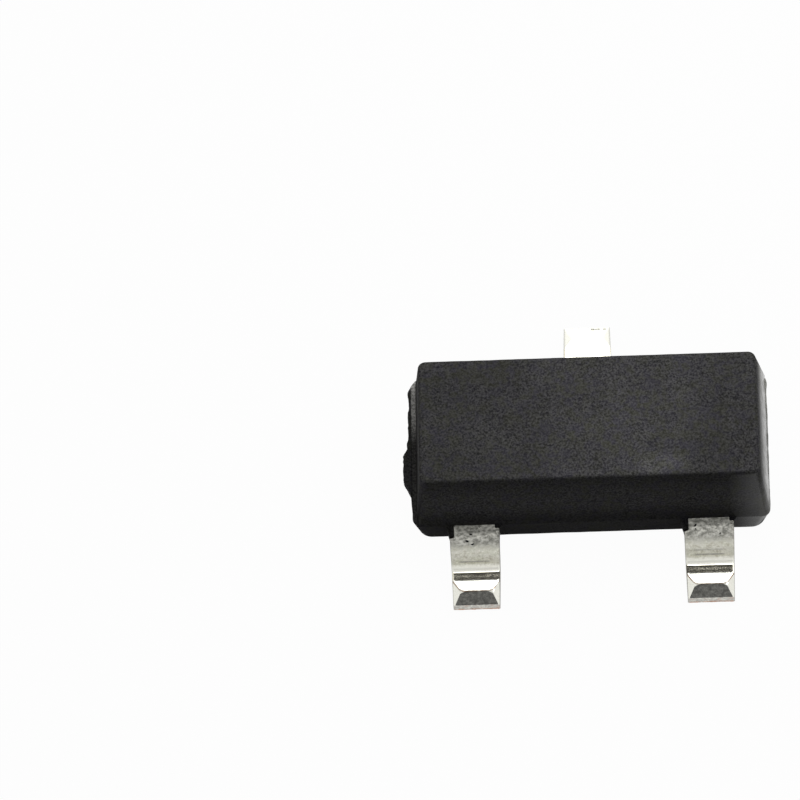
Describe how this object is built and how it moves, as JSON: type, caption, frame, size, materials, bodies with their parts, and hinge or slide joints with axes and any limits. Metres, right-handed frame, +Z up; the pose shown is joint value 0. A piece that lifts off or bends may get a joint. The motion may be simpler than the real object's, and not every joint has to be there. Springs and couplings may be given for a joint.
{
  "type": "sot-23 transistor",
  "caption": "Small surface-mount transistor: a black drafted plastic block on gull-wing leads, with the chip on its paddle and its bond wires moulded inside.",
  "frame": {"origin": "middle of the body on the plane that the feet stand on", "axes": "+X along the body, +Y towards the single lead, +Z up through the top face"},
  "size_m": [0.0029, 0.0025, 0.001],
  "materials": {
    "mould_compound": "fine matte grain left by the mould",
    "tinned_lead": "bright tin plate, duller on the shoulder",
    "attach_layer": "thin gold alloy layer",
    "silicon": "polished dark grey",
    "bond_wire": "bright drawn gold"
  },
  "bodies": {
    "root": {"mould_body": "mould_compound", "base_lead": "tinned_lead", "emitter_lead": "tinned_lead", "collector_lead": "tinned_lead", "die_attach": "attach_layer", "die": "silicon", "base_wire": "bond_wire", "emitter_wire": "bond_wire"}
  },
  "joints": []
}
